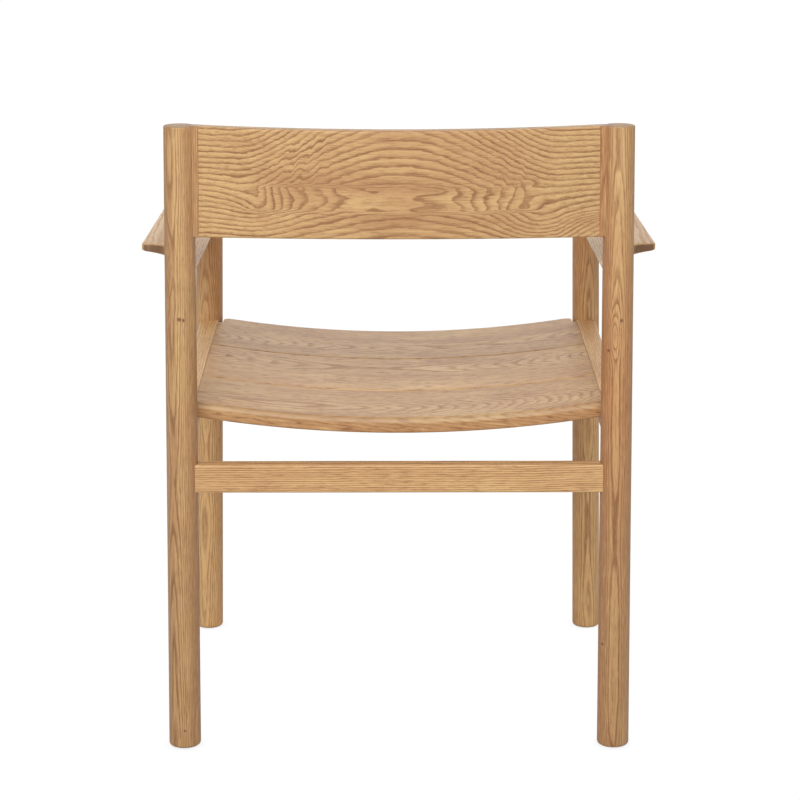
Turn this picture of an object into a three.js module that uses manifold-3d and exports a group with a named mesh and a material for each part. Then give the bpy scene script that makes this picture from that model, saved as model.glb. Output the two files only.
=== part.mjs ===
// Wooden armchair: oiled oak, four round legs, a curved back board, flat armrests, a dished
// seat of three planks, and dowelled joints throughout. Millimetres, +Z up, the sitter faces -Y.
// Left and right are the sitter's: left is +X.
import * as THREE from "three";
import Module from "manifold-3d";
import { mergeVertices } from "three/addons/utils/BufferGeometryUtils.js";

// ---- driving dimensions ---------------------------------------------------------------------
const GAP = 0.3;                 // clearance left in every joint, as for a thin film of glue
const BEYOND = 400;              // well past the end of any piece, for the length of a cut
const CLEAR = 5;                 // how far a cut reaches past the face it comes out of

// A leg: the middle of its foot and of its top, and its radius at each.
const REAR = {
  footX: 261.5, footY: 170, footR: 19.3,
  topX: 245.7, topY: 255, topR: 17.3, height: 772,
};
const FRONT = {
  footX: 261.2, footY: -260, footR: 18.5,
  topX: 250.2, topY: -260, topR: 17.6, height: 595,
};
const FOOT_EDGE = 4;             // rounding under each foot
const TOP_EDGE = 1.5;            // chamfer round the top of each rear leg

// inset is from the middle of a rear leg to the end of the board.
const BACK = { inset: 22, bottom: 644, thick: 18, bulge: 24, waist: 2, edge: 2 };

const SEAT = { sideTop: 436, dish: 20, thick: 18, halfWidth: 239.7, edge: 2.5, slot: 1.6 };
const PLANKS = [                 // [name, front edge Y, rear edge Y, rounding of the rear edge]
  ["seat_plank_front", -268, -108, SEAT.edge],
  ["seat_plank_middle", -108, 56.5, SEAT.edge],
  ["seat_plank_rear", 56.5, 190, 6.5],
];
// The front plank's front corners: cut round the legs, and rounded.
const NOTCH = { x: 233.4, y: -239.5, corner: 12 };
const BOW_STEPS = 20;                     // flats along the bow of the board and of the seat
const LEG_SIDES = 32;                     // flats round a leg
const DOWEL_SIDES = 16;                   // flats round a dowel
const CORNER_STEPS = [0, 30, 60, 90];     // degrees, the points round a small rounding

const RAIL = { x: 252, thick: 24, bottom: 395, edge: 2 };
const STRETCHER = { bottom: 333, top: 368, thick: 20, edge: 2 };

const ARM = {
  top: 607, thick: 17, outerThick: 8.5, innerRear: 232, innerFront: 220.5, bevelX: 250,
  lip: 2.5, undercut: 7,         // the inner edge: its upright part, then how far it slopes under
  outerRear: 306.5, outerFront: 297, neckX: 267,
  frontY: -288, rearY: 98, rearCorner: 7, sweep: 33, frontCorner: 12,
};

const DOWEL = {
  back: { diameter: 8, length: 30, z: [682, 736] },
  armRear: { diameter: 8, length: 36, x: [244, 257], into: 3 },
  armFront: { diameter: 12, length: 40, z: 582 },
  rail: { diameter: 10, length: 40, z: [405, 425], into: 6 },
  stretcher: { diameter: 8, length: 36, z: [341.5, 359.5], into: 5 },
  plank: { diameter: 8, length: 34, x: 243, z: 426 },
  chamfer: 1,
};
const PLANK_DOWELS = {           // Y of the two dowels at each end of a plank
  seat_plank_front: [-190, -135],
  seat_plank_middle: [-75, 25],
  seat_plank_rear: [80, 150],
};

// ---- solids ---------------------------------------------------------------------------------
const wasm = await Module();
wasm.setup();

// A three.js geometry as a manifold solid.
function solid(geometry) {
  let g = geometry.clone();
  g.deleteAttribute("normal");
  g.deleteAttribute("uv");
  g = mergeVertices(g, 1e-4);
  const mesh = new wasm.Mesh({
    numProp: 3,
    vertProperties: new Float32Array(g.attributes.position.array),
    triVerts: new Uint32Array(g.index.array),
  });
  return new wasm.Manifold(mesh);
}

// A manifold solid as a flat-shaded three.js geometry.
function geometryOf(body) {
  const mesh = body.getMesh();
  const g = new THREE.BufferGeometry();
  g.setAttribute("position", new THREE.BufferAttribute(new Float32Array(mesh.vertProperties), 3));
  g.setIndex(new THREE.BufferAttribute(new Uint32Array(mesh.triVerts), 1));
  const flat = g.toNonIndexed();
  flat.computeVertexNormals();
  return flat;
}

// A solid skinned over rings of points, all with the same count, and closed by flat fans.
function loft(rings) {
  const n = rings[0].length;
  const positions = rings.flat().flatMap((p) => [p.x, p.y, p.z]);
  const index = [];
  for (let r = 0; r + 1 < rings.length; r++) {
    for (let i = 0; i < n; i++) {
      const a = r * n + i, b = r * n + ((i + 1) % n);
      index.push(a, b, b + n, a, b + n, a + n);
    }
  }
  const last = (rings.length - 1) * n;
  for (let i = 1; i + 1 < n; i++) {
    index.push(0, i + 1, i);
    index.push(last, last + i, last + i + 1);
  }
  const g = new THREE.BufferGeometry();
  g.setAttribute("position", new THREE.Float32BufferAttribute(positions, 3));
  g.setIndex(index);
  const body = solid(g);
  return body.volume() < 0 ? solid(flipped(g)) : body;
}

function flipped(geometry) {
  const g = geometry.clone();
  const i = g.index.array;
  for (let k = 0; k < i.length; k += 3) [i[k + 1], i[k + 2]] = [i[k + 2], i[k + 1]];
  return g;
}

// A circle as [u, v] points.
function circle(count, radius) {
  return Array.from({ length: count }, (_, i) => {
    const a = (i / count) * 2 * Math.PI;
    return [radius * Math.cos(a), radius * Math.sin(a)];
  });
}

// A rectangle with rounded corners, as [u, v] points. The corner at u1, v1 may have a radius of
// its own.
function roundedRectangle(u0, u1, v0, v1, radius, own = radius) {
  const corners = [[u1, v1, 0, own], [u0, v1, 90, radius], [u0, v0, 180, radius], [u1, v0, 270, radius]];
  return corners.flatMap(([u, v, start, r]) => {
    const cu = u === u1 ? u1 - r : u0 + r;
    const cv = v === v1 ? v1 - r : v0 + r;
    return CORNER_STEPS.map((step) => {
      const a = THREE.MathUtils.degToRad(start + step);
      return [cu + r * Math.cos(a), cv + r * Math.sin(a)];
    });
  });
}

// ---- legs -----------------------------------------------------------------------------------
// The centre and radius of a leg at height z. Legs splay sideways, and the rear ones lean back.
function legAt(leg, side, z) {
  const t = z / leg.height;
  return {
    x: side * THREE.MathUtils.lerp(leg.footX, leg.topX, t),
    y: THREE.MathUtils.lerp(leg.footY, leg.topY, t),
    r: THREE.MathUtils.lerp(leg.footR, leg.topR, t),
  };
}

// A tapered round leg, flat on the floor and on top. grow widens it for cutting a cope.
function legSolid(leg, side, grow = 0) {
  const ring = (z, inset) => {
    const { x, y, r } = legAt(leg, side, z);
    return circle(LEG_SIDES, r + grow - inset).map(([u, v]) => new THREE.Vector3(x + u, y + v, z));
  };
  const foot = CORNER_STEPS.map((step) => {
    const a = THREE.MathUtils.degToRad(step);
    return ring(FOOT_EDGE * (1 - Math.cos(a)), FOOT_EDGE * (1 - Math.sin(a)));
  });
  return loft([...foot, ring(leg.height - TOP_EDGE, 0), ring(leg.height, TOP_EDGE)]);
}

// Half the length of the back board at height z: its ends follow the splay of the rear legs.
const boardHalf = (z) => legAt(REAR, 1, z).x - BACK.inset;

// The flat cheek that carries the back board, following the rear leg's lean and splay from
// below the board up to its top.
function cheekSolid(side) {
  const ring = (z) => {
    const { x, y } = legAt(REAR, side, z);
    const face = side * (boardHalf(z) + GAP);
    const near = y - BACK.thick / 2, far = y + BACK.thick / 2;
    return [[face, near], [x, near], [x, far], [face, far]].map(([px, py]) =>
      new THREE.Vector3(px, py, z));
  };
  return loft([ring(BACK.bottom), ring(REAR.height)]);
}

// ---- back board, seat, rails ----------------------------------------------------------------
const stations = (half) =>
  Array.from({ length: BOW_STEPS + 1 }, (_, i) => -half + (2 * half * i) / BOW_STEPS);

// A board bowed to the rear between the rear legs, leaning with them, a little waisted.
function backSolid() {
  return loft(stations(1).map((across) => {
    const middle = 1 - across ** 2;
    const z0 = BACK.bottom + BACK.waist * middle, z1 = REAR.height - BACK.waist * middle;
    const h = BACK.thick / 2;
    return roundedRectangle(-h, h, z0, z1, BACK.edge).map(([v, z]) =>
      new THREE.Vector3(across * boardHalf(z), legAt(REAR, 1, z).y + BACK.bulge * middle + v, z));
  }));
}

// The height of the seat's upper face at x: level front to back, hollow from side to side.
const seatTop = (x) => SEAT.sideTop - SEAT.dish * (1 - (x / SEAT.halfWidth) ** 2);

function plankSolid(y0, y1, rearEdge) {
  return loft(stations(SEAT.halfWidth).map((x) => {
    const z1 = seatTop(x);
    return roundedRectangle(y0, y1, z1 - SEAT.thick, z1, SEAT.edge, rearEdge).map(([y, z]) =>
      new THREE.Vector3(x, y, z));
  }));
}

// What is cut from the front plank at a front leg: a square notch, and the corner before it.
function notchSolid(side) {
  const front = PLANKS[0][1] + SEAT.slot / 2, c = NOTCH.corner;
  const plan = new THREE.Shape();
  plan.moveTo(RAIL.x, NOTCH.y);
  plan.lineTo(NOTCH.x, NOTCH.y);
  plan.lineTo(NOTCH.x, front + c);
  plan.absarc(NOTCH.x - c, front + c, c, 0, -Math.PI / 2, true);
  plan.lineTo(NOTCH.x - c, -BEYOND);
  plan.lineTo(RAIL.x, -BEYOND);
  const upright = { depth: ARM.top - RAIL.bottom, bevelEnabled: false, curveSegments: 6 };
  const geometry = new THREE.ExtrudeGeometry(plan, upright);
  geometry.translate(0, 0, RAIL.bottom);
  const notch = solid(geometry);
  return side < 0 ? notch.mirror([1, 0, 0]) : notch;
}

// A side rail, coped onto the front leg and the rear leg.
function railSolid(side) {
  const h = RAIL.thick / 2;
  const section = roundedRectangle(-h, h, RAIL.bottom, SEAT.sideTop, RAIL.edge);
  const rail = loft([FRONT.footY, legAt(REAR, side, RAIL.bottom).y].map((y) =>
    section.map(([u, z]) => new THREE.Vector3(side * RAIL.x + u, y, z))));
  return rail.subtract(legSolid(FRONT, side, GAP)).subtract(legSolid(REAR, side, GAP));
}

// A stretcher between the two rear legs or the two front legs. It leans with them, and is
// coped onto both.
function stretcherSolid(leg) {
  const reach = legAt(leg, 1, STRETCHER.top).x, h = STRETCHER.thick / 2;
  const section = roundedRectangle(-h, h, STRETCHER.bottom, STRETCHER.top, STRETCHER.edge);
  const piece = loft([-reach, reach].map((x) =>
    section.map(([v, z]) => new THREE.Vector3(x, legAt(leg, 1, z).y + v, z))));
  return piece.subtract(legSolid(leg, 1, GAP)).subtract(legSolid(leg, -1, GAP));
}

// ---- armrests -------------------------------------------------------------------------------
const NECK_END = legAt(REAR, 1, ARM.top).y;

// The plan of the left armrest: a broad flat rest, toed in a little, that sweeps in to a neck.
function armPlan() {
  const a = ARM, s = new THREE.Shape();
  const quarter = Math.PI / 2;
  const frontArcY = a.frontY + a.frontCorner, rearArcY = a.rearY - a.rearCorner;
  s.moveTo(a.innerFront, frontArcY);
  s.absarc(a.innerFront + a.frontCorner, frontArcY, a.frontCorner, 2 * quarter, 3 * quarter);
  s.absarc(a.outerFront - a.frontCorner, frontArcY, a.frontCorner, 3 * quarter, 4 * quarter);
  s.absarc(a.outerRear - a.rearCorner, rearArcY, a.rearCorner, 0, quarter);
  s.absarc(a.neckX + a.sweep, a.rearY + a.sweep, a.sweep, 3 * quarter, 2 * quarter, true);
  s.lineTo(a.neckX, NECK_END);
  s.lineTo(a.innerRear, NECK_END);
  return s;
}

function armSolid(side) {
  const bottom = ARM.top - ARM.thick, below = bottom - CLEAR;
  const flat = { depth: ARM.thick, bevelEnabled: false, curveSegments: 6 };
  const plan = new THREE.ExtrudeGeometry(armPlan(), flat);
  plan.translate(0, 0, bottom);
  // The underside rises from the leg towards the outer edge.
  const rise = ARM.thick - ARM.outerThick, run = ARM.outerRear - ARM.bevelX;
  const wedge = loft([-BEYOND, BEYOND].map((y) => [
    new THREE.Vector3(ARM.bevelX, y, bottom),
    new THREE.Vector3(ARM.bevelX + 2 * run, y, bottom + 2 * rise),
    new THREE.Vector3(ARM.bevelX + 2 * run, y, below),
    new THREE.Vector3(ARM.bevelX, y, below),
  ]));
  // The inner edge slopes under, below an upright lip.
  const toeIn = (ARM.innerRear - ARM.innerFront) / (NECK_END - ARM.frontY);
  const under = loft([-BEYOND, BEYOND].map((y) => {
    const x = ARM.innerRear + toeIn * (y - NECK_END), lip = ARM.top - ARM.lip;
    return [
      new THREE.Vector3(x, y, lip),
      new THREE.Vector3(x + ARM.undercut, y, bottom),
      new THREE.Vector3(x + ARM.undercut, y, below),
      new THREE.Vector3(x - ARM.undercut, y, below),
      new THREE.Vector3(x - ARM.undercut, y, lip),
    ];
  }));
  let arm = solid(plan).subtract(wedge).subtract(under);
  if (side < 0) arm = arm.mirror([1, 0, 0]);
  return arm.subtract(legSolid(REAR, side, GAP));
}

// ---- pieces and dowels ----------------------------------------------------------------------
const SIDES = [["left", 1], ["right", -1]];
const pieces = new Map();

for (const [name, side] of SIDES) {
  const arm = armSolid(side);
  pieces.set(`rear_leg_${name}`, legSolid(REAR, side).add(cheekSolid(side)));
  pieces.set(`front_leg_${name}`, legSolid(FRONT, side).subtract(arm.translate([0, 0, -GAP])));
  pieces.set(`side_rail_${name}`, railSolid(side));
  pieces.set(`armrest_${name}`, arm);
}
pieces.set("backrest", backSolid());
pieces.set("rear_stretcher", stretcherSolid(REAR));
pieces.set("front_stretcher", stretcherSolid(FRONT));
for (const [name, y0, y1, rearEdge] of PLANKS) {
  pieces.set(name, plankSolid(y0 + SEAT.slot / 2, y1 - SEAT.slot / 2, rearEdge));
}
for (const [, side] of SIDES) {
  pieces.set("seat_plank_front", pieces.get("seat_plank_front").subtract(notchSolid(side)));
}

// A round bar with chamfered ends, along X, Y or Z, centred on a point.
function rod(axis, centre, radius, length) {
  const ring = (s, r) => circle(DOWEL_SIDES, r).map(([u, v]) => {
    const p = { x: [s, u, v], y: [u, s, v], z: [u, v, s] }[axis];
    return new THREE.Vector3(...p).add(centre);
  });
  const h = length / 2, c = DOWEL.chamfer;
  return loft([ring(-h, radius - c), ring(-h + c, radius), ring(h - c, radius), ring(h, radius - c)]);
}

// A dowel glued blind into two pieces: both are drilled with clearance, and the dowel is kept.
function dowel(name, axis, centre, { diameter, length }, hosts) {
  const hole = rod(axis, centre, diameter / 2 + GAP, length + 2 * GAP);
  for (const host of hosts) pieces.set(host, pieces.get(host).subtract(hole));
  pieces.set(name, rod(axis, centre, diameter / 2, length));
}

for (const [name, side] of SIDES) {
  const V = (x, y, z) => new THREE.Vector3(side * x, y, z);

  DOWEL.back.z.forEach((z, i) => {
    dowel(`dowel_back_${i + 1}_${name}`, "x", V(boardHalf(z), legAt(REAR, 1, z).y, z), DOWEL.back,
      ["backrest", `rear_leg_${name}`]);
  });

  const armZ = ARM.top - ARM.thick / 2, post = legAt(REAR, 1, armZ);
  DOWEL.armRear.x.forEach((x, i) => {
    const at = V(x, post.y - post.r - DOWEL.armRear.into, armZ);
    dowel(`dowel_arm_rear_${i + 1}_${name}`, "y", at, DOWEL.armRear,
      [`armrest_${name}`, `rear_leg_${name}`]);
  });
  dowel(`dowel_arm_front_${name}`, "z", V(FRONT.topX, FRONT.topY, DOWEL.armFront.z), DOWEL.armFront,
    [`armrest_${name}`, `front_leg_${name}`]);

  DOWEL.rail.z.forEach((z, i) => {
    for (const [end, leg, inward] of [["front", FRONT, 1], ["rear", REAR, -1]]) {
      const at = legAt(leg, 1, z);
      const y = at.y + inward * (at.r + DOWEL.rail.into);
      dowel(`dowel_rail_${end}_${i + 1}_${name}`, "y", V(RAIL.x, y, z), DOWEL.rail,
        [`side_rail_${name}`, `${end}_leg_${name}`]);
    }
  });

  DOWEL.stretcher.z.forEach((z, i) => {
    for (const [end, leg] of [["front", FRONT], ["rear", REAR]]) {
      const at = legAt(leg, 1, z), x = at.x - at.r - DOWEL.stretcher.into;
      dowel(`dowel_stretcher_${end}_${i + 1}_${name}`, "x", V(x, at.y, z), DOWEL.stretcher,
        [`${end}_stretcher`, `${end}_leg_${name}`]);
    }
  });

  for (const [plank, places] of Object.entries(PLANK_DOWELS)) {
    places.forEach((y, i) => {
      dowel(`dowel_${plank}_${i + 1}_${name}`, "x", V(DOWEL.plank.x, y, DOWEL.plank.z), DOWEL.plank,
        [plank, `side_rail_${name}`]);
    });
  }
}

// ---- the assembly ---------------------------------------------------------------------------
const armchair = new THREE.Group();
armchair.name = "armchair";
const oak = new THREE.MeshStandardMaterial({ name: "oak", color: 0xc79a68, roughness: 0.55 });
const beech = new THREE.MeshStandardMaterial({ name: "dowel_wood", color: 0xd8b98f, roughness: 0.6 });

for (const [name, body] of pieces) {
  const mesh = new THREE.Mesh(geometryOf(body), name.startsWith("dowel_") ? beech : oak);
  mesh.name = name;
  armchair.add(mesh);
}

// The origin is under the middle of the chair's box, on the floor.
const box = new THREE.Box3().setFromObject(armchair);
const middle = box.getCenter(new THREE.Vector3());
for (const mesh of armchair.children) mesh.geometry.translate(-middle.x, -middle.y, -box.min.z);

export default armchair;
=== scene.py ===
"""A wooden armchair in oiled oak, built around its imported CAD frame.

Metres, +Z up. The sitter faces -Y, and +X is the sitter's left. The camera stands behind the chair.
"""
import math

import bmesh
import bpy
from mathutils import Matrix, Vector


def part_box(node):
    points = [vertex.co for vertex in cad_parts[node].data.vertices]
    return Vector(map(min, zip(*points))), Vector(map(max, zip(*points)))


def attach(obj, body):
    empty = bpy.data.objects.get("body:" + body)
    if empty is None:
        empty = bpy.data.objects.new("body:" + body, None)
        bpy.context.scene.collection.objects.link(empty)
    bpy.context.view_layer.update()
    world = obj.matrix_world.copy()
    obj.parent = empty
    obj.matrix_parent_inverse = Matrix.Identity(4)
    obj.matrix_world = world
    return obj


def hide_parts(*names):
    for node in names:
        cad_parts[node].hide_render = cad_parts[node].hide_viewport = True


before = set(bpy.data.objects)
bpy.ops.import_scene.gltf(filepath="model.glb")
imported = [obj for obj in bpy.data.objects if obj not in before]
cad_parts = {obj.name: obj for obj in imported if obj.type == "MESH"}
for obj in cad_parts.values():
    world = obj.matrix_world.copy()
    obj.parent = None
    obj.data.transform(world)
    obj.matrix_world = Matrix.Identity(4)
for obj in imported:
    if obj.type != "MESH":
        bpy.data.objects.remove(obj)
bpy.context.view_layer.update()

# ---- sizes that the frame's boxes don't give -------------------------------------------------
FOOT_EDGE = 0.004            # rounding under each foot
TOP_EDGE = 0.0012            # rounding on the rear posts' tops
FRONT_TOP_EDGE = 0.0006      # the same on the front legs' tops
CONTACT = 0.00008            # the seam left between two pieces that touch
TOP_CLEAR = 0.00006          # how far the cheeks stop below the posts' tops
CHEEK_EDGE = 0.0005
ROUND_STEPS = 96             # points round a leg
SHARP = 32                   # degrees: a crease is kept sharp from this angle on
ARM_SHARP = 28
FLAT_MARGIN = 0.6            # of a corner's radius: how near to it a flat side has its first point

# A leg's centre on the floor and at its top, and its radius there. The left one; the right mirrors it.
REAR = {"foot": (0.2615, 0.17022), "top": (0.2457, 0.25522), "height": 0.772, "radii": (0.0193, 0.0173)}
FRONT = {"foot": (0.2612, -0.25978), "top": (0.2502, -0.25978), "height": 0.595, "radii": (0.0185, 0.0176)}

BACK_INSET = 0.022           # from the middle of a rear leg to the end of the back board
BACK_THICK, BACK_BULGE, BACK_WAIST, BACK_EDGE = 0.018, 0.024, 0.002, 0.0022
PLANK_THICK, PLANK_EDGE, PLANK_CORNER, SEAT_REAR_EDGE = 0.018, 0.0022, 0.0028, 0.0065
NOTCH_X, NOTCH_Y = 0.2334, -0.2393        # the front plank's corners, cut round the front legs
FRONT_CORNER = 0.0115                     # and rounded ahead of them
RAIL_EDGE, STRETCHER_EDGE, STRETCHER_THICK = 0.0018, 0.0022, 0.020
ARM = {"bevel_x": 0.250, "rise": 0.0085, "edge": 0.003, "outer_front": 0.297, "front_corner": 0.012,
       "neck_x": 0.267, "sweep": 0.033, "rear_corner": 0.007, "rear_y": 0.09822, "neck_inner": 0.232,
       "lip": 0.003, "undercut": 0.007}

SIDES = (("left", 1), ("right", -1))


# ---- mesh helpers ----------------------------------------------------------------------------
def lerp(a, b, t):
    return a + (b - a) * t


def spread(a, b, steps):
    """steps + 1 even values from a to b."""
    return [lerp(a, b, i / steps) for i in range(steps + 1)]


def finish_mesh(bm, name, sharp=SHARP):
    """The bmesh as a smooth-shaded object with its sharp edges marked."""
    bmesh.ops.recalc_face_normals(bm, faces=bm.faces)
    mesh = bpy.data.meshes.new(name)
    bm.to_mesh(mesh)
    bm.free()
    for polygon in mesh.polygons:
        polygon.use_smooth = True
    mesh.set_sharp_from_angle(angle=math.radians(sharp))
    piece = bpy.data.objects.new(name, mesh)
    bpy.context.scene.collection.objects.link(piece)
    return piece


def loft(name, rings):
    """A closed skin over rings of points, each with the same count, with a fan over each end."""
    bm = bmesh.new()
    rows = [[bm.verts.new(p) for p in ring] for ring in rings]
    count = len(rings[0])
    for low, high in zip(rows, rows[1:]):
        for i in range(count):
            j = (i + 1) % count
            bm.faces.new((low[i], low[j], high[j], high[i]))
    for row in (rows[0], rows[-1]):
        hub = bm.verts.new(sum((v.co for v in row), Vector()) / count)
        for i in range(count):
            bm.faces.new((row[i], row[(i + 1) % count], hub))
    return finish_mesh(bm, name)


def rounded_section(u0, u1, v0, v1, radius, steps=5, along=(4, 8), own=None):
    """A rounded rectangle as (u, v) points, with extra points along its straight sides.

    The points next to each corner keep the flat faces flat under smooth shading. The corner at
    u1, v1 may have a radius of its own.
    """
    radii = (own or radius, radius, radius, radius)
    corners = ((u1, v1, 0), (u0, v1, 90), (u0, v0, 180), (u1, v0, 270))
    points = []
    for k, (u, v, start) in enumerate(corners):
        r, r_next = radii[k], radii[(k + 1) % 4]
        cu = u1 - r if u == u1 else u0 + r
        cv = v1 - r if v == v1 else v0 + r
        for s in range(steps + 1):
            a = math.radians(start + 90 * s / steps)
            points.append((cu + r * math.cos(a), cv + r * math.sin(a)))
        last = points[-1]
        across = k % 2 == 0                      # the side that follows runs along u
        length = (u1 - u0 if across else v1 - v0) - r - r_next
        sign = -1 if k in (0, 1) else 1
        margin = radius * FLAT_MARGIN
        inner = spread(0, 1, along[0] if across else along[1])[1:-1]
        marks = [margin, *(length * m for m in inner), length - margin]
        for m in marks:
            points.append((last[0] + sign * m, last[1]) if across else (last[0], last[1] + sign * m))
    return points


def combine(piece, other):
    """piece becomes the union of itself and other, and other is removed."""
    join = piece.modifiers.new("join", "BOOLEAN")
    join.operation = "UNION"
    join.solver = "EXACT"
    join.object = other
    bpy.context.view_layer.update()
    graph = bpy.context.evaluated_depsgraph_get()
    mesh = bpy.data.meshes.new_from_object(piece.evaluated_get(graph))
    piece.modifiers.clear()
    piece.data = mesh
    bpy.data.objects.remove(other)
    mesh.set_sharp_from_angle(angle=math.radians(SHARP))
    return piece


# ---- legs ------------------------------------------------------------------------------------
def leg_at(leg, side, z):
    """The centre and radius of a leg's level section at height z."""
    t = z / leg["height"]
    x, y = (lerp(leg["foot"][i], leg["top"][i], t) for i in (0, 1))
    return side * x, y, lerp(*leg["radii"], t)


def round_leg(name, leg, side, top_edge):
    """A tapered round leg, flat on the floor, with its edges rounded."""
    def ring(z, inset):
        x, y, r = leg_at(leg, side, z)
        turn = (2 * math.pi * i / ROUND_STEPS for i in range(ROUND_STEPS))
        return [Vector((x + (r - inset) * math.cos(a), y + (r - inset) * math.sin(a), z)) for a in turn]

    quarter = [math.radians(a) for a in spread(0, 90, 6)]
    foot = [ring(FOOT_EDGE * (1 - math.cos(a)), FOOT_EDGE * (1 - math.sin(a))) for a in quarter]
    stem = [ring(z, 0) for z in spread(FOOT_EDGE + 0.003, leg["height"] - top_edge - 0.001, 24)]
    top = [ring(leg["height"] - top_edge * (1 - math.sin(a)), top_edge * (1 - math.cos(a)))
           for a in quarter]
    return loft(name, foot + stem + top)


def board_half(z):
    """Half the back board's length at height z: its ends follow the splay of the rear legs."""
    return leg_at(REAR, 1, z)[0] - BACK_INSET


def rear_leg(name, side):
    """A rear leg: the round post, with the flat cheek that the back board's end meets."""
    post = round_leg(name, REAR, side, TOP_EDGE)
    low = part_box("backrest")[0].z
    high = REAR["height"] - TOP_CLEAR

    def ring(z, inset=0.0):
        x, y, _ = leg_at(REAR, side, z)
        h = BACK_THICK / 2 - inset
        outline = rounded_section(-h, h, board_half(z) + CONTACT, abs(x), CHEEK_EDGE, 4, (2, 2))
        return [Vector((side * u, y + v, z)) for v, u in outline]

    levels = [(low, 0.0008), (low + 0.0008, 0)]
    levels += [(z, 0) for z in spread(low + 0.004, high - 0.004, 6)]
    levels += [(high - 0.0006, 0), (high, 0.0006)]
    cheek = loft(name + "_cheek", [ring(z, inset) for z, inset in levels])
    return combine(post, cheek)


# ---- back board, planks, bars ----------------------------------------------------------------
def back_board():
    """The back board, bowed to the rear, leaning with the posts, a little narrower at the middle."""
    low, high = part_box("backrest")
    end = [1 - d for d in (0, 0.001, 0.004)]
    stations = [-t for t in end] + spread(-0.987, 0.987, 64) + end[::-1]

    def ring(t):
        middle = 1 - t ** 2
        inset = 0.0002 if abs(t) == 1 else 0
        z0 = low.z + BACK_WAIST * middle + inset
        z1 = high.z - BACK_WAIST * middle - inset
        h = BACK_THICK / 2 - inset
        section = rounded_section(-h, h, z0, z1, BACK_EDGE, 5, (3, 10))
        return [Vector((t * board_half(z), leg_at(REAR, 1, z)[1] + BACK_BULGE * middle + v, z))
                for v, z in section]

    return loft("back_board", [ring(t) for t in stations])


def seat_plank(name, node):
    """A seat plank: level from front to back, hollow from side to side, with rounded corners."""
    low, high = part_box(node)
    half = high.x
    dish = high.z - low.z - PLANK_THICK
    notched = "front" in node
    turn = [math.radians(a) for a in spread(0, 90, 5)]
    rounding = [(half - PLANK_CORNER * (1 - math.sin(a)), PLANK_CORNER * (1 - math.cos(a)))
                for a in turn]

    # Stations from the middle to one end: x, and how far the front and rear edges are drawn in.
    corner = FRONT_CORNER
    stations = [(x, 0, 0) for x in spread(0, (NOTCH_X if notched else half) - corner, 36)]
    if notched:
        depth = NOTCH_Y - low.y
        stations += [(NOTCH_X - corner * (1 - math.sin(a)), corner * (1 - math.cos(a)), 0)
                     for a in turn[1:]]
        stations += [(NOTCH_X + 0.00005, depth, 0), (NOTCH_X + 0.001, depth, 0)]
        stations += [(x, depth, 0) for x in spread(NOTCH_X + 0.001, half - PLANK_CORNER - 0.0005, 2)[1:]]
        rounding = [(x, depth, drawn) for x, drawn in rounding]
    else:
        rounding = [(x, drawn, drawn) for x, drawn in rounding]
    stations += rounding[1:] if rounding[0][0] <= stations[-1][0] else rounding
    both = [(-x, f, r) for x, f, r in reversed(stations[1:])] + stations

    def ring(x, front, rear):
        z1 = high.z - dish * (1 - (x / half) ** 2)
        section = rounded_section(low.y + front, high.y - rear, z1 - PLANK_THICK, z1, PLANK_EDGE,
                                  along=(8, 2), own=SEAT_REAR_EDGE if "rear" in node else None)
        return [Vector((x, y, z)) for y, z in section]

    return loft(name, [ring(*station) for station in both])


def side_rail(name, node, side):
    """A side rail, its ends hollowed to fit the front and rear legs."""
    low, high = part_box(node)
    section = rounded_section(low.x, high.x, low.z, high.z, RAIL_EDGE, 5, (6, 6))

    def reach(leg, x, z):
        cx, _, r = leg_at(leg, side, z)
        return math.sqrt((r + CONTACT) ** 2 - (x - cx) ** 2)

    def ring(t):
        ring_points = []
        for x, z in section:
            front = leg_at(FRONT, side, z)[1] + reach(FRONT, x, z)
            rear = leg_at(REAR, side, z)[1] - reach(REAR, x, z)
            ring_points.append(Vector((x, lerp(front, rear, t), z)))
        return ring_points

    return loft(name, [ring(t) for t in spread(0, 1, 16)])


def stretcher(name, node, leg):
    """A flat bar between a pair of legs. It leans with them, and its ends are hollowed to fit."""
    low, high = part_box(node)
    h = STRETCHER_THICK / 2
    section = rounded_section(-h, h, low.z, high.z, STRETCHER_EDGE, 5, (3, 5))

    def ring(t):
        ring_points = []
        for v, z in section:
            cx, cy, r = leg_at(leg, 1, z)
            end = cx - math.sqrt((r + CONTACT) ** 2 - v ** 2)
            ring_points.append(Vector((lerp(-end, end, t), cy + v, z)))
        return ring_points

    return loft(name, [ring(t) for t in spread(0, 1, 24)])


# ---- armrests --------------------------------------------------------------------------------
def arc(cx, cy, radius, start, end, steps):
    """Points on an arc, from one angle to another in degrees."""
    return [(cx + radius * math.cos(a), cy + radius * math.sin(a))
            for a in (math.radians(d) for d in spread(start, end, steps))]


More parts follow.
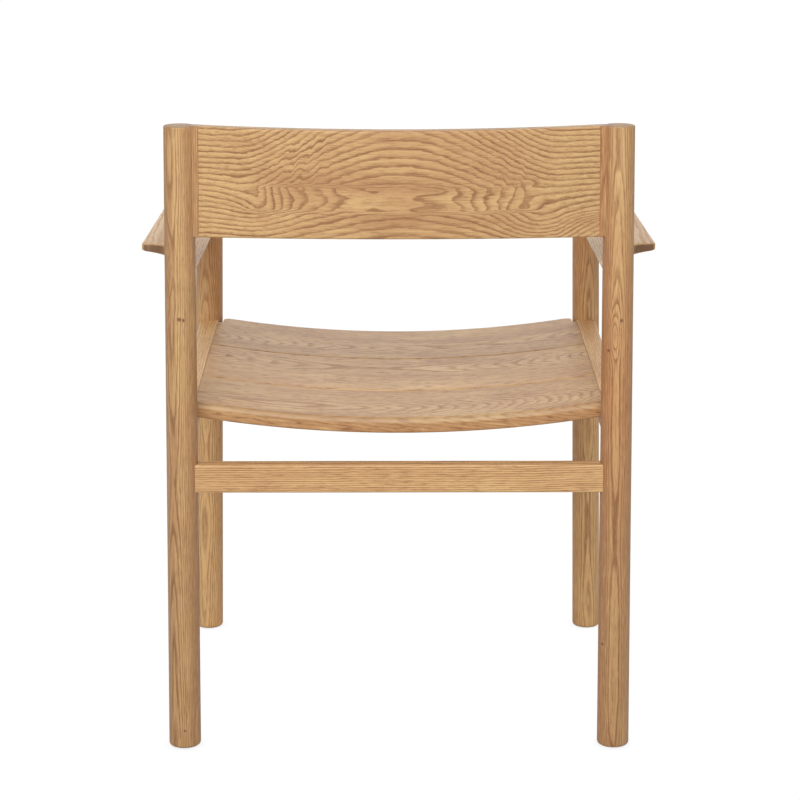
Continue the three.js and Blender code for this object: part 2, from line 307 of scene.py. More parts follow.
def arm_outline(low, high, under):
    """The left armrest's plan, counter-clockwise, as (x, y, edge rounding) points.

    under moves the inner edge outwards, for a level below the armrest's top.
    """
    a = ARM
    corner, sweep, tip = a["front_corner"], a["sweep"], a["rear_corner"]
    post_x, post_y, post_r = leg_at(REAR, 1, (low.z + high.z) / 2)
    hug = post_r + CONTACT
    front_x, neck_x = low.x + under, a["neck_inner"] + under

    def on_post(x):
        return post_y - math.sqrt(hug ** 2 - (x - post_x) ** 2)

    outline = arc(front_x + corner, low.y + corner, corner, 180, 270, 10)
    outline += arc(a["outer_front"] - corner, low.y + corner, corner, 270, 360, 10)
    outline += [(lerp(a["outer_front"], high.x, t), lerp(low.y + corner, a["rear_y"] - tip, t))
                for t in spread(0, 1, 24)[1:-1]]
    outline += arc(high.x - tip, a["rear_y"] - tip, tip, 0, 90, 10)
    outline += arc(a["neck_x"] + sweep, a["rear_y"] + sweep, sweep, 270, 180, 16)
    neck_end = on_post(a["neck_x"] - 0.0004)
    outline += [(a["neck_x"], y) for y in spread(a["rear_y"] + sweep, neck_end, 8)[1:-1]]
    rounded = [(x, y, a["edge"]) for x, y in outline]
    ends = [(x, on_post(x), 0.0002) for x in spread(a["neck_x"] - 0.0004, neck_x + 0.0004, 16)]
    inner = [(lerp(neck_x, front_x, t), lerp(on_post(neck_x + 0.0004), low.y + corner, t))
             for t in spread(0, 1, 40)[1:-1]]
    return rounded + ends + [(x, y, a["edge"]) for x, y in inner]


def armrest(name, side):
    """A flat armrest with rounded edges, whose underside rises towards the outer edge and whose
    inner side slopes under."""
    low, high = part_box("armrest_left")
    thick = high.z - low.z
    edge = ARM["edge"]
    quarter = [math.radians(a) for a in spread(0, 90, 5)]
    levels = [(edge * (1 - math.cos(a)), 1 - math.sin(a)) for a in quarter]
    levels += [(thick - edge * (1 - math.cos(a)), 1 - math.sin(a)) for a in reversed(quarter)]

    bm = bmesh.new()
    rows = []
    for z, drawn_in in levels:
        slope = max(0.0, (thick - ARM["lip"] - z) / (thick - ARM["lip"]))
        outline = arm_outline(low, high, ARM["undercut"] * slope)
        row = []
        for i, (x, y, rounding) in enumerate(outline):
            (x0, y0, _), (x1, y1, _) = outline[i - 1], outline[(i + 1) % len(outline)]
            along = Vector((x1 - x0, y1 - y0)).normalized()
            inset = rounding * drawn_in
            row.append(bm.verts.new((x - along.y * inset, y + along.x * inset, z)))
        rows.append(row)
    count = len(rows[0])
    for lower_row, upper_row in zip(rows, rows[1:]):
        for i in range(count):
            j = (i + 1) % count
            bm.faces.new((lower_row[i], lower_row[j], upper_row[j], upper_row[i]))
    bottom = bm.faces.new(list(reversed(rows[0])))
    bm.faces.new(rows[-1])
    bmesh.ops.bisect_plane(bm, geom=[bottom, *bottom.edges, *bottom.verts],
                           plane_co=(ARM["bevel_x"], 0, 0), plane_no=(1, 0, 0))
    bm.normal_update()
    bmesh.ops.triangulate(bm, faces=[f for f in bm.faces if len(f.verts) > 4])

    post_slope = (REAR["top"][1] - REAR["foot"][1]) / REAR["height"]
    for v in bm.verts:
        below = 1 - v.co.z / thick                   # 1 on the underside, 0 on top
        near_post = min(1.0, max(0.0, (v.co.y - 0.15) / 0.08))
        outward = max(0.0, (v.co.x - ARM["bevel_x"]) / (high.x - ARM["bevel_x"]))
        v.co.y += post_slope * (v.co.z - thick / 2) * near_post
        v.co.z += low.z + ARM["rise"] * outward * below
        v.co.x *= side
    return finish_mesh(bm, name, ARM_SHARP)


# ---- node helpers ----------------------------------------------------------------------------
class Graph:
    """Short calls that add nodes to a material and link them."""

    def __init__(self, name):
        self.material = bpy.data.materials.new(name)
        self.material.use_nodes = True
        self.tree = self.material.node_tree
        self.tree.nodes.clear()

    def put(self, kind, inputs=(), **settings):
        node = self.tree.nodes.new(kind)
        for key, value in settings.items():
            setattr(node, key, value)
        for key, value in dict(inputs).items():
            if isinstance(value, bpy.types.NodeSocket):
                self.tree.links.new(value, node.inputs[key])
            else:
                node.inputs[key].default_value = value
        return node

    def math(self, operation, a, b=0.0, c=0.0, clamp=False):
        node = self.put("ShaderNodeMath", {0: a, 1: b, 2: c}, operation=operation, use_clamp=clamp)
        return node.outputs[0]

    def add(self, a, b):
        return self.math("ADD", a, b)

    def sub(self, a, b):
        return self.math("SUBTRACT", a, b)

    def mul(self, a, b):
        return self.math("MULTIPLY", a, b)

    def join(self, x, y, z):
        return self.put("ShaderNodeCombineXYZ", {0: x, 1: y, 2: z}).outputs[0]

    def along(self, vector, direction):
        """The length of a vector along a direction."""
        node = self.put("ShaderNodeVectorMath", {0: vector, 1: direction}, operation="DOT_PRODUCT")
        return node.outputs["Value"]

    def noise(self, vector, detail=2.0, roughness=0.5, colour=False):
        """Noise of scale 1: the vector carries the scale. Centred on 0.5."""
        node = self.put("ShaderNodeTexNoise", {"Vector": vector, "Scale": 1.0, "Detail": detail,
                                               "Roughness": roughness})
        return node.outputs["Color" if colour else "Fac"]

    def step(self, value, low, high, to_low=0.0, to_high=1.0):
        """value taken smoothly from the range low..high to the range to_low..to_high."""
        node = self.put("ShaderNodeMapRange", {"Value": value, "From Min": low, "From Max": high,
                                               "To Min": to_low, "To Max": to_high},
                        interpolation_type="SMOOTHSTEP")
        return node.outputs["Result"]

    def lerp(self, a, b, t):
        return self.add(a, self.mul(self.sub(b, a), t))

    def hill(self, x, y, x0, y0, width, height):
        """1 at (x0, y0), falling away smoothly on a scale of width and height."""
        dx = self.math("DIVIDE", self.sub(x, x0), width)
        dy = self.math("DIVIDE", self.sub(y, y0), height)
        return self.math("EXPONENT", self.mul(self.add(self.mul(dx, dx), self.mul(dy, dy)), -1.0))

    def centred(self, x, y, z, detail=2.0, roughness=0.5):
        """Noise of scale 1 around 0."""
        return self.sub(self.noise(self.join(x, y, z), detail, roughness), 0.5)

    def fibres(self, u, v, w, lengthwise, crosswise, seed, detail=2.0, roughness=0.5):
        """Noise drawn out along the grain, by its scales along and across it. Centred on 0.5."""
        vector = self.join(self.mul(u, lengthwise), self.mul(v, crosswise),
                           self.math("MULTIPLY_ADD", w, crosswise, seed))
        return self.noise(vector, detail, roughness)

    def ramp(self, value, stops):
        """A grey level for a value from 0 to 1, given as (position, level) stops."""
        node = self.put("ShaderNodeValToRGB", {0: value})
        elements = node.color_ramp.elements
        while len(elements) < len(stops):
            elements.new(0.5)
        for element, (position, level) in zip(elements, stops):
            element.position = position
            element.color = (level, level, level, 1)
        return node.outputs[0]

    def mix(self, factor, a, b, blend="MIX"):
        node = self.put("ShaderNodeMix", data_type="RGBA", blend_type=blend)
        for socket, value in zip((node.inputs[0], node.inputs[6], node.inputs[7]), (factor, a, b)):
            if isinstance(value, bpy.types.NodeSocket):
                self.tree.links.new(value, socket)
            elif isinstance(value, float):
                socket.default_value = value
            else:
                socket.default_value = (*value, 1)
        return node.outputs[2]


# ---- oak -------------------------------------------------------------------------------------
STRAW = (0.600, 0.390, 0.172)         # the palest latewood
HONEY = (0.515, 0.303, 0.134)         # the common ground
RUSSET = (0.405, 0.212, 0.092)        # darker drifts in it
LINE = (0.235, 0.106, 0.040)          # the line of open pores that starts each ring
PAINTED_SHEEN = (0.410, 0.270, 0.158)      # a painted sheen on a rounded edge
KNOT = (0.14, 0.052, 0.020)
END_GRAIN = (0.085, 0.029, 0.013)     # a cut end, full of oil
REDDER = (1.0, 0.86, 0.81)            # what a warm stretch multiplies its colour by

# Across one ring: the dark line of open pores it starts with, and the slower fade into pale wood.
PORE_LINE = [(0.0, 0.7), (0.04, 1.0), (0.20, 0.80), (0.36, 0.22), (0.54, 0.0), (0.94, 0.0), (1.0, 0.7)]
RING_FADE = [(0.0, 0.6), (0.08, 1.0), (0.40, 0.5), (0.85, 0.0), (1.0, 0.6)]


def straight_rings(g, u, v, w, pith, ring, wander, seed):
    """Ring number in a trunk whose pith runs beside the piece, drifting as it goes."""
    drift = g.noise(g.join(g.mul(u, 2.6), float(seed), 0.37), 2.0, 0.45, colour=True)
    parts = g.put("ShaderNodeSeparateColor", {0: drift}).outputs
    dv = g.mul(g.sub(parts[0], 0.5), wander)
    dw = g.mul(g.sub(parts[1], 0.5), wander)
    pv = g.sub(g.add(v, dv), pith[0])
    pw = g.sub(g.add(w, dw), pith[1])
    radius = g.math("SQRT", g.add(g.mul(pv, pv), g.mul(pw, pw)))
    ripple = g.sub(g.fibres(u, v, w, 9.0, 60.0, seed, 3.0, 0.55), 0.5)
    return g.math("DIVIDE", g.add(radius, g.mul(ripple, ring * 1.4)), ring)


# The back board's figure, in millimetres along it from its middle and up from the middle of its
# level band.
MM = 1000.0
BAND_MIDDLE = 13.4                              # how far the band's middle lies under the board's
BAND_TOP, BAND_FOOT = (13.0, 18.5), (-12.5, -18.5)      # each fades from inside to outside
BAND_HALF, LEAN_HALF = 17.5, 16.0               # heights count no further than these inside it
CLIMB_FROM, CLIMB_RUN = 16.0, 148               # where the lines start to climb, and for how far
CROSS_FROM, CROSS_RUN = 20, 127                 # the same inside the band


def bowed_rings(g, u, v, w, seed):
    """Ring number on the back board.

    At the ends the lines run level and close. Towards the middle they climb, cross a level band
    almost upright, and spread out into wide level lines above it.
    """
    sway = g.noise(g.join(g.mul(u, 9.0), g.mul(v, 14.0), seed), 2.0, 0.5, colour=True)
    parts = g.put("ShaderNodeSeparateColor", {0: sway}).outputs
    along = g.add(g.mul(u, MM), g.mul(g.sub(parts[0], 0.5), 16.0))
    up = g.add(g.math("MULTIPLY_ADD", v, MM, BAND_MIDDLE), g.mul(g.sub(parts[1], 0.5), 6.0))
    above, below = g.step(up, *BAND_TOP), g.step(up, *BAND_FOOT)

    # The lines lean across the band a little to the right of the middle.
    inside = g.sub(1.0, g.math("MAXIMUM", above, below))
    held = g.math("MINIMUM", g.math("MAXIMUM", up, -LEAN_HALF), LEAN_HALF)
    slant = g.mul(g.mul(g.hill(along, up, -15.0, 0.0, 40.0, 60.0), held), 1.5)
    leaning = g.add(along, g.mul(slant, inside))
    reach = g.math("ABSOLUTE", leaning)
    moved = g.add(g.step(leaning, -8.0, 45.0, 4.0, -33.0), g.step(leaning, 60.0, 95.0, 0.0, 12.0))
    moved = g.add(moved, g.step(leaning, 110.0, 165.0, 0.0, 7.0))
    reach = g.add(reach, g.mul(inside, moved))

    # Inside the band, height hardly counts; the lines bunch along its lower edge.
    held = g.math("MINIMUM", g.math("MAXIMUM", up, -BAND_HALF), BAND_HALF)
    banded = g.add(g.sub(up, held), g.add(g.mul(above, 11.1), g.math("MULTIPLY_ADD", below, -23.9, 6.4)))
    height = g.lerp(banded, up, g.step(reach, 125.0, 172.0))
    height = g.add(height, g.mul(g.hill(along, up, 165.0, -4.0, 34.0, 24.0), 9.0))
    height = g.add(height, g.mul(g.hill(along, up, -158.0, -26.0, 38.0, 22.0), 16.0))
    corner = g.mul(g.math("MAXIMUM", g.sub(-178.0, along), 0.0), g.step(up, -16.0, -34.0))
    height = g.sub(height, g.mul(corner, 0.45))

    # Curly grain: steps across the climbing lines, most on the left.
    steps = g.centred(g.math("MULTIPLY_ADD", up, 0.034, g.mul(along, 0.120)), g.mul(up, 0.026),
                      seed + 2.6, 1.0)
    curly = g.add(g.hill(along, up, 106.0, 42.0, 34.0, 34.0),
                  g.mul(g.hill(along, up, -118.0, 24.0, 36.0, 24.0), 0.6))
    height = g.add(height, g.mul(g.mul(steps, curly), 17.0))

    # How far the lines have come from the middle (0) to the ends (1).
    started = g.sub(g.add(reach, g.mul(below, 14.0)), CLIMB_FROM)
    rising = g.math("MULTIPLY_ADD", g.math("MAXIMUM", started, 0.0), 1 / CLIMB_RUN)
    climb = g.math("SMOOTH_MIN", g.math("POWER", rising, 1.55), 1.0, 0.3)
    crossed = g.math("MULTIPLY_ADD", reach, 1 / CROSS_RUN, -CROSS_FROM / CROSS_RUN, clamp=True)
    away = g.lerp(climb, g.math("POWER", crossed, 1.6), inside)
    number = g.add(g.math("MULTIPLY_ADD", height, 0.100, -0.90),
                   g.mul(away, g.math("MULTIPLY_ADD", height, 0.058, 5.95)))

    # Lens shapes in the middle of the band, and a wobble everywhere.
    lenses = g.centred(g.mul(along, 0.021), g.mul(up, 0.062), seed + 9.3, 1.5)
    middle = g.mul(g.sub(1.0, away), inside)
    wobble = g.centred(g.mul(along, 0.06), g.mul(up, 0.17), seed + 5.1, 2.0)
    number = g.add(number, g.add(g.mul(g.mul(lenses, middle), 2.6), g.mul(wobble, 0.55)))
    return g.add(number, g.math("MULTIPLY_ADD", w, 120.0, 40.0))


def oak(name, origin, fibre, across, ring_number, seed, tone=1.0, blush=0.0, contrast=1.0,
        end_grain=0.7, knots=(), shade=None, warmth=None, flecked=0.42, gloss=0.5, fine=1.0,
        painted_sheen=None):
    """Oiled oak. fibre runs along the grain and across lies in the broad face. u, v and w are the
    metres from origin along fibre, across and the depth. ring_number(g, u, v, w) gives the growth
    ring at a point, shade(g, u, v, w) its drift from -1 for straw to 1 for russet, which on the front
    legs and the planks' edges is painted shade and painted highlight, warmth(g, u, v, w) how far it
    reddens, and painted_sheen(g) how far a painted sheen pales it. fine below 1 widens the streaks
    and flecks."""
    g = Graph(name)
    place = g.put("ShaderNodeTexCoord").outputs["Object"]
    local = g.put("ShaderNodeVectorMath", {0: place, 1: origin}, operation="SUBTRACT").outputs[0]
    fibre = Vector(fibre).normalized()
    across = (Vector(across) - fibre * fibre.dot(Vector(across))).normalized()
    u, v, w = (g.along(local, tuple(d)) for d in (fibre, across, fibre.cross(across)))

    # Grain parts round each knot: the sideways distance is squeezed near it.
    knot_mask = 0.0
    for ku, kv, size in knots:
        du = g.math("DIVIDE", g.sub(u, ku), size * 3.2)
        dv = g.math("DIVIDE", g.sub(v, kv), size * 1.1)
        near = g.math("EXPONENT", g.mul(g.add(g.mul(du, du), g.mul(dv, dv)), -1.0))
        rough_edge = g.centred(g.mul(u, 700.0), g.mul(v, 700.0), seed, 1.0)
        wide = g.mul(du, 2.6)
        distance = g.math("SQRT", g.add(g.mul(wide, wide), g.mul(dv, dv)))
        spot = g.step(g.add(distance, g.mul(rough_edge, 0.9)), 1.25, 0.35)
        knot_mask = g.math("MAXIMUM", knot_mask, spot)
        v = g.sub(v, g.mul(g.mul(near, dv), size * 0.8))

    number = ring_number(g, u, v, w)
    phase = g.math("FRACT", number)
    ring_seed = g.add(g.math("FLOOR", number), seed)
    chance = g.put("ShaderNodeTexWhiteNoise", {"W": ring_seed}, noise_dimensions="1D").outputs["Value"]

    line, fade = g.ramp(phase, PORE_LINE), g.ramp(phase, RING_FADE)
    uneven = g.sub(g.fibres(u, v, w, 20.0, 60.0, seed), 0.5)
    strength = g.add(g.math("MULTIPLY_ADD", chance, 0.45, 0.55), uneven)

    # Streaks of tone along the fibre, short dark flecks, and the pores between them.
    fv, fw = g.mul(v, fine), g.mul(w, fine)
    streaks = g.fibres(u, fv, fw, 14.0, 420.0, seed, 3.0, 0.6)
    fleck_noise = g.fibres(u, fv, fw, 62.0, 820.0, seed, 2.0, 0.6)
    flecks = g.step(fleck_noise, 0.52, 0.72)
    pore_noise = g.noise(g.join(g.mul(u, 70.0), g.mul(v, 2100.0), g.mul(w, 2100.0)), 2.0, 0.6)
    pores = g.mul(g.step(pore_noise, 0.54, 0.68), g.math("MULTIPLY_ADD", line, 0.6, 0.4))

    # The ground drifts between straw, honey and russet. Over it lie the rings, then the fibres.
    cloud = g.fibres(u, v, w, 9.0, 26.0, seed * 1.7)
    drift = g.fibres(u, v, w, 5.0, 30.0, seed * 2.3)
    straw, honey, russet, dark = (tuple(c * tone for c in colour)
                                  for colour in (STRAW, HONEY, RUSSET, LINE))
    colour = g.mix(g.step(cloud, 0.44, 0.68, 0.0, 0.85), honey, straw)
    colour = g.mix(g.step(drift, 0.46, 0.72, blush, 0.85), colour, russet)
    # The shade mixes in russet above 0 and straw below 0. This is wood drift, and on the front legs and
    # the planks' edges it is painted shade (russet) and painted highlight (straw).
    if shade:
        drift_and_painted_light = shade(g, u, v, w)
        colour = g.mix(g.math("MULTIPLY", drift_and_painted_light, 0.9, clamp=True), colour, russet)
        colour = g.mix(g.math("MULTIPLY", drift_and_painted_light, -0.9, clamp=True), colour, straw)
    colour = g.mix(g.math("MULTIPLY", g.mul(fade, strength), 0.45 * contrast, clamp=True), colour, russet)
    colour = g.mix(g.math("MULTIPLY", g.mul(line, strength), 0.92 * contrast, clamp=True), colour, dark)
    colour = g.mix(g.step(streaks, 0.42, 0.74, 0.0, 0.55), colour, russet)
    colour = g.mix(g.step(streaks, 0.46, 0.26, 0.0, 0.55), colour, straw)
    colour = g.mix(g.mul(flecks, g.math("MULTIPLY_ADD", fade, 0.30, flecked)), colour, dark)
    colour = g.mix(g.step(fleck_noise, 0.46, 0.28, 0.0, 0.45), colour, straw)
    colour = g.mix(g.mul(pores, 0.5), colour, dark)
    if warmth:
        colour = g.mix(warmth(g, u, v, w), colour, REDDER, blend="MULTIPLY")
    if knots:
        colour = g.mix(g.mul(knot_mask, 0.85), colour, KNOT)

    # Cut ends drink the oil and go darker. Raised edges are polished.
    geometry = g.put("ShaderNodeNewGeometry").outputs
    facing = g.math("ABSOLUTE", g.along(geometry["True Normal"], tuple(fibre)))
    ends = g.step(facing, 0.55, 0.90)
    colour = g.mix(g.mul(ends, 1.0 - end_grain), colour, END_GRAIN)
    worn = g.step(geometry["Pointiness"], 0.515, 0.60)
    colour = g.mix(g.mul(worn, 0.18), colour, straw)
    # A painted sheen: the colour paled on the seat's rounded rear edge, standing in for the top's sheen
    # carried over the rounding.
    if painted_sheen:
        colour = g.mix(g.mul(painted_sheen(g), 0.50), colour, PAINTED_SHEEN)

    relief = g.sub(g.mul(streaks, 0.35), g.add(g.mul(g.add(pores, flecks), 0.6), g.mul(line, 0.5)))
    bump = g.put("ShaderNodeBump", {"Height": relief, "Strength": 0.25, "Distance": 0.0004}).outputs[0]
    rough = g.add(g.math("MULTIPLY_ADD", line, 0.10, 0.46), g.mul(pores, 0.18))
    rough = g.sub(rough, g.mul(worn, 0.10))
    shader = g.put("ShaderNodeBsdfPrincipled", {"Base Color": colour, "Roughness": rough, "Normal": bump,
                                                "Specular IOR Level": gloss, "IOR": 1.45})
    g.put("ShaderNodeOutputMaterial", {"Surface": shader.outputs[0]})
    return g.material


def trunk(pith, ring, wander, seed):
    """A ring function for a straight piece: where the pith lies, the ring width, how much it drifts."""
    return lambda g, u, v, w: straight_rings(g, u, v, w, pith, ring, wander, seed)


def even(level):
    """A shade that is the same all over."""
    return lambda g, u, v, w: level


X, Y, Z = (1, 0, 0), (0, 1, 0), (0, 0, 1)


def leg_direction(leg, side):
    return (side * (leg["top"][0] - leg["foot"][0]), leg["top"][1] - leg["foot"][1], leg["height"])


def leg_oak(name, leg, side, pith, ring, wander, seed, figure=None, warm=False, **look):
    """A leg's oak: a straw streak down the middle of its rear face, russet towards its sides. A rear
    leg goes russet downwards. A front one has painted shade, russet, up under the armrest and painted
    light, straw, below the seat. A warm one is redder on its cheek and around three fifths of the way
    up. A figure of nested arches is given by its place across and along the leg, its width and height,
    and how many rings it spans."""
    inner, outer = (0.95, 0.30) if side > 0 else (1.35, -0.20)

    def shade(g, u, v, w):
        streak = g.hill(v, u, 0.0005, leg["height"], 0.0065, 1.1)
        outward = g.mul(v, float(side))
        sides = g.add(g.step(outward, -0.006, -0.016, 0.0, inner),
                      g.step(outward, 0.009, 0.018, 0.0, outer))
        if leg is FRONT:
            # A front leg: painted shade, russet, towards its top under the armrest, and painted light,
            # straw, below the seat.
            return g.add(g.mul(sides, 0.4), g.step(u, 0.36, 0.56, -0.70, 0.85))
        return g.add(g.sub(sides, g.mul(streak, 0.85)), g.step(u, 0.60, 0.40, -0.10, 0.32))

    def warmth(g, u, v, w):
        cheek = g.step(g.mul(v, float(side)), -0.015, -0.018, 0.0, 0.75)
        return g.math("MAXIMUM", cheek, g.mul(g.hill(u, v, 0.46, 0.0, 0.17, 1.0), 0.75))

    def rings(g, u, v, w):
        number = straight_rings(g, u, v, w, pith, ring, wander, seed)
        if figure:
            number = g.add(number, g.mul(g.hill(v, u, *figure[:4]), figure[4]))
        return number

    origin = (side * leg["foot"][0], leg["foot"][1], 0)
    return oak(name, origin, leg_direction(leg, side), X, rings, seed, shade=shade,
               warmth=warmth if warm else None, **look)


def arm_shade(side):
    """The left armrest is paler along its outer half, the right one along its inner half."""
    inner, outer = (0.0, -0.55) if side > 0 else (-0.90, -0.15)
    return lambda g, u, v, w: g.step(g.mul(v, float(side)), -0.024, 0.0, inner, outer)


BACK_SEED = 5.0


def back_oak():
    """The board's own frame: along it, up its leaning height, and depth from its bowed face."""
    low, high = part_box("backrest")
    middle_z = (low.z + high.z) / 2
    _, y, _ = leg_at(REAR, 1, middle_z)
    lean = (0, REAR["top"][1] - REAR["foot"][1], REAR["height"])

    def rings(g, u, v, w):
        bow = g.mul(g.mul(u, u), BACK_BULGE / board_half(middle_z) ** 2)
        face = g.sub(BACK_BULGE + BACK_THICK / 2, bow)
        return bowed_rings(g, u, v, g.add(face, w), BACK_SEED)

    def shade(g, u, v, w):
        ruddy = g.hill(u, v, -0.038, 0.0005, 0.034, 0.006)
        ruddy = g.add(ruddy, g.mul(g.hill(u, v, 0.034, 0.001, 0.030, 0.005), 0.8))
        ruddy = g.add(ruddy, g.mul(g.hill(u, v, 0.178, 0.050, 0.030, 0.010), 0.7))
        ruddy = g.add(ruddy, g.mul(g.hill(u, v, -0.205, -0.048, 0.030, 0.014), 1.0))
        pale = g.hill(u, v, 0.040, -0.017, 0.030, 0.009)
        ends = g.step(g.math("ABSOLUTE", u), 0.11, 0.20, 0.0, 0.95)
        return g.sub(ruddy, g.add(pale, ends))

    return oak("oak_back", (0, y, middle_z), X, lean, rings, BACK_SEED, blush=0.08, contrast=1.22,
               shade=shade)


def plank_painted_light(node):
    """Painted light on a plank's edges: painted shade, russet, low on the seat's rear edge, a painted
    sheen, pale, on the rounding above that, and a painted highlight, straw, where the other planks roll
    over, with painted shade, russet, towards the middle plank's ends."""
    low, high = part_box(node)
    dish = high.z - low.z - PLANK_THICK

    def below_top(g):
        """Distance along the plank, and depth below its hollow top."""
        place = g.put("ShaderNodeTexCoord").outputs["Object"]
        x, z = g.along(place, X), g.along(place, Z)
        return x, g.sub(g.math("MULTIPLY_ADD", g.mul(x, x), dish / high.x ** 2, high.z - dish), z)

    def shade(g, u, v, w):
        x, depth = below_top(g)
        # The seat's rear edge: painted shade, russet, on its face below the rounding.
        if "rear" in node:
            return g.step(depth, 0.0040, 0.0076, 0.0, 1.0)
        # Where the front and middle planks roll over: a painted highlight, straw, and on the middle plank
        # painted shade, russet, towards its ends.
        rolled = g.step(depth, 0.0003, 0.0018)
        if "middle" in node:
            return g.mul(rolled, g.step(g.math("ABSOLUTE", x), 0.07, 0.15, -0.7, 1.3))
        return g.mul(rolled, -0.9)

    # The painted sheen: pale on the rounding of the seat's rear edge, between the top and the painted
    # shade below.
    def painted_sheen(g):
        _, depth = below_top(g)
        return g.mul(g.step(depth, 0.0001, 0.0010), g.step(depth, 0.0068, 0.0040))

    return {"shade": shade, "painted_sheen": painted_sheen if "rear" in node else None}


# ---- the chair -------------------------------------------------------------------------------
def show(piece, material, *nodes):
    """The piece takes a material, rides on the chair and stands for its CAD nodes."""
    piece.data.materials.clear()
    piece.data.materials.append(material)
    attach(piece, "root")
    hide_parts(*nodes)


RAIL_X, RAIL_Z = 0.252, 0.415         # the left rail's middle
ARM_X, ARM_Z = 0.26, 0.60             # the left armrest's middle


def build_chair():
    seeds = {"left": 11.0, "right": 23.0}
    # Each leg's pith, across and in depth, its ring width and wander, and a rear one's tone and blush.
    rear_looks = {"left": ((0.032, 0.046), 0.0020, 0.024, 1.0, 0.1),
                  "right": ((0.004, 0.050), 0.0021, 0.026, 1.02, 0.50)}
    front_looks = {"left": ((0.010, 0.048), 0.0024, 0.044),
                   "right": ((-0.008, 0.052), 0.0023, 0.040)}
    figures = {"left": (0.0150, 0.615, 0.0060, 0.036, 3.0),
               "right": (0.0050, 0.533, 0.0070, 0.027, -2.8)}
    # Each knot's place along and across the leg, and its size.
    knots = {"left": ((0.554, 0.0005, 0.0024), (0.553, -0.004, 0.0021), (0.027, -0.0014, 0.0016)),
             "right": ((0.552, -0.0033, 0.0020), (0.515, 0.011, 0.0018), (0.140, 0.0147, 0.0016))}
    for name, side in SIDES:
        seed = seeds[name]
        pith, ring, wander, tone, blush = rear_looks[name]
        show(rear_leg(f"post_{name}", side),
             leg_oak(f"oak_rear_{name}", REAR, side, pith, ring, wander, seed, tone=tone, blush=blush,
                     contrast=1.15, knots=knots[name], figure=figures[name], warm=name == "right"),
             f"rear_leg_{name}")
        pith, ring, wander = front_looks[name]
        show(round_leg(f"front_post_{name}", FRONT, side, FRONT_TOP_EDGE),
             leg_oak(f"oak_front_{name}", FRONT, side, pith, ring, wander, seed + 4, tone=1.34,
                     blush=0.2),
             f"front_leg_{name}")
        show(side_rail(f"rail_{name}", f"side_rail_{name}", side),
             oak(f"oak_rail_{name}", (side * RAIL_X, 0, RAIL_Z), Y, X,
                 trunk((0.05, 0.03 * side), 0.0026, 0.012, seed + 7), seed + 7, tone=1.42,
                 contrast=0.35, shade=even(-0.45 if side > 0 else 0.0)),
             f"side_rail_{name}")
        show(armrest(f"arm_{name}", side),
             oak(f"oak_arm_{name}", (side * ARM_X, 0, ARM_Z), Y, X,
                 trunk((0.02 * side, -0.05), 0.0026, 0.020, seed + 9), seed + 9, tone=1.16,
                 contrast=0.5, end_grain=0.21, gloss=0.62, shade=arm_shade(side)),
             f"armrest_{name}")

    show(back_board(), back_oak(), "backrest")
    planks = {"front": ((0.02, 0.06), 31.0, (1, 0.02, -0.05), 1.13),
              "middle": ((-0.03, 0.07), 37.0, (1, -0.015, 0.03), 1.25),
              "rear": ((0.02, -0.055), 41.0, (1, 0, 0.10), 1.06)}
    for place, (pith, seed, fibre, tone) in planks.items():
        node = f"seat_plank_{place}"
        low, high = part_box(node)
        centre = (0, (low.y + high.y) / 2, (low.z + high.z) / 2)
        show(seat_plank(f"plank_{place}", node),
             oak(f"oak_plank_{place}", centre, fibre, Y, trunk(pith, 0.0029, 0.014, seed), seed,
                 tone=tone, contrast=0.62, flecked=0.7, gloss=0.42, fine=0.45, **plank_painted_light(node)),
             node)
    for place, leg, seed in (("rear", REAR, 53.0), ("front", FRONT, 59.0)):
        node = f"{place}_stretcher"
        low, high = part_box(node)
        centre = (0, (low.y + high.y) / 2, (low.z + high.z) / 2)
        show(stretcher(f"bar_{place}", node, leg),
             oak(f"oak_bar_{place}", centre, X, Z, trunk((0.09, 0.02), 0.0026, 0.014, seed), seed,
                 tone=1.21, contrast=1.25, flecked=0.62, gloss=0.62, shade=even(-0.35)),
             node)

    dowel_oak = oak("oak_dowels", (0, 0, 0), X, Y, trunk((0.05, 0.05), 0.002, 0.004, 61.0), 61.0)
    for node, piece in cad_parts.items():
        if node.startswith("dowel_"):
            piece.data.materials.clear()
            piece.data.materials.append(dowel_oak)


# ---- floor, light, camera --------------------------------------------------------------------
FLOOR_HALF = 30.0
WHITE = 1.02                 # just past white: what the camera sees of the floor and the room
FOOT_SHADE = 0.80            # the same in the painted contact shadow where a foot meets the floor
ROOM = 0.52                  # how strongly the room lights the chair


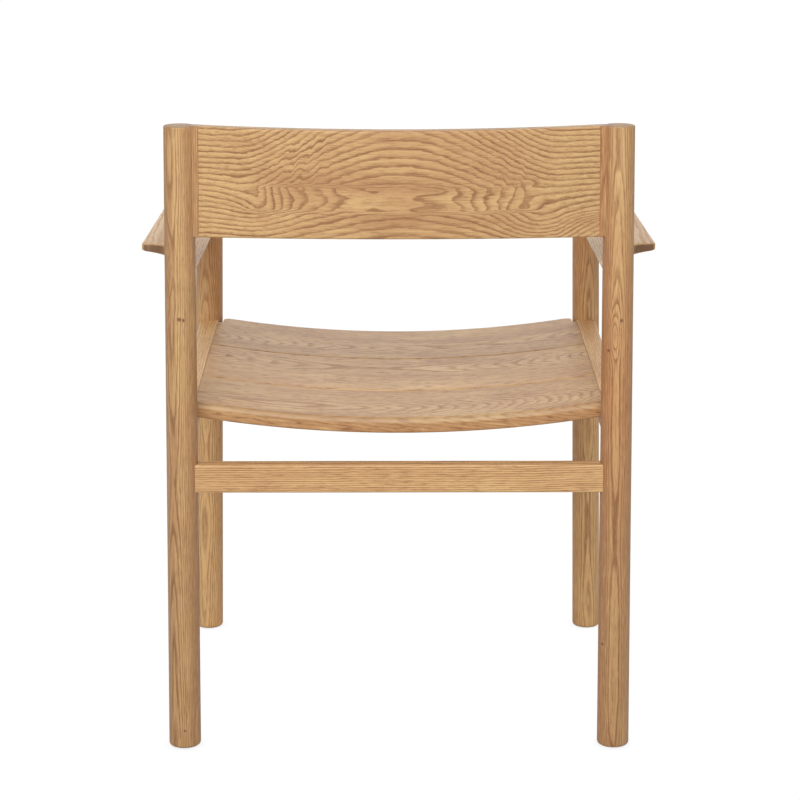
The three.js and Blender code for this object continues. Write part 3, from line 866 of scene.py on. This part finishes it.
def build_stage():
    """A white floor. To the camera it glows an even white, with a painted contact shadow, a little dimmer,
    where a foot meets it.
    """
    mesh = bpy.data.meshes.new("floor")
    s = FLOOR_HALF
    mesh.from_pydata([(-s, -s, 0), (s, -s, 0), (s, s, 0), (-s, s, 0)], [], [(0, 1, 2, 3)])
    floor = bpy.data.objects.new("floor", mesh)
    bpy.context.scene.collection.objects.link(floor)
    g = Graph("floor_white")
    mottle = g.noise(g.put("ShaderNodeTexCoord").outputs["Object"], 2.0)
    pale = g.mix(g.step(mottle, 0.3, 0.7), (0.74, 0.74, 0.74), (0.76, 0.76, 0.76))
    lit = g.put("ShaderNodeBsdfDiffuse", {"Color": pale, "Roughness": 0.9})
    # A painted contact shadow: the glow dimmed by ambient occlusion round the feet.
    open_sky = g.put("ShaderNodeAmbientOcclusion", {"Distance": 0.07}, samples=8).outputs["AO"]
    brightness = g.step(open_sky, 0.1, 0.9, FOOT_SHADE, WHITE)
    glow = g.put("ShaderNodeEmission", {"Color": (1, 1, 1, 1), "Strength": brightness})
    seen = g.put("ShaderNodeLightPath").outputs["Is Camera Ray"]
    shader = g.put("ShaderNodeMixShader", {0: seen, 1: lit.outputs[0], 2: glow.outputs[0]})
    g.put("ShaderNodeOutputMaterial", {"Surface": shader.outputs[0]})
    mesh.materials.append(g.material)


def area_light(name, place, target, size, power):
    light = bpy.data.lights.new(name, "AREA")
    light.shape = "RECTANGLE"
    light.size, light.size_y = size
    light.energy = power
    lamp = bpy.data.objects.new(name, light)
    lamp.location = place
    lamp.rotation_euler = (Vector(target) - Vector(place)).to_track_quat("-Z", "Y").to_euler()
    bpy.context.scene.collection.objects.link(lamp)


def build_light():
    """One large soft light high behind the chair, a low white wall ahead of it, and a dim white room."""
    world = bpy.data.worlds.new("studio")
    world.use_nodes = True
    tree = world.node_tree
    seen = tree.nodes.new("ShaderNodeLightPath").outputs["Is Camera Ray"]
    level = tree.nodes.new("ShaderNodeMapRange")
    tree.links.new(seen, level.inputs["Value"])
    level.inputs["To Min"].default_value = ROOM
    level.inputs["To Max"].default_value = WHITE
    background = tree.nodes["Background"]
    background.inputs["Color"].default_value = (1.0, 1.0, 1.0, 1)
    tree.links.new(level.outputs["Result"], background.inputs["Strength"])
    bpy.context.scene.world = world
    area_light("key", (0.35, 2.75, 2.35), (0, 0.1, 0.55), (2.2, 1.6), 90)
    area_light("wall", (0.0, -3.2, 1.1), (0, 0, 0.5), (4.0, 2.0), 36)
    bpy.context.scene.view_settings.view_transform = "Standard"


def build_camera():
    """Behind the chair, a little to its left, looking down by 14.6 degrees."""
    data = bpy.data.cameras.new("camera")
    data.sensor_width = 36
    data.lens = 113.4
    camera = bpy.data.objects.new("camera", data)
    camera.location = (0.012, 3.050, 1.183)
    view = Vector((-0.0012, 0.170, 0.4334)) - camera.location
    camera.rotation_euler = view.to_track_quat("-Z", "Y").to_euler()
    bpy.context.scene.collection.objects.link(camera)
    bpy.context.scene.camera = camera


build_camera()
build_light()
build_stage()
build_chair()
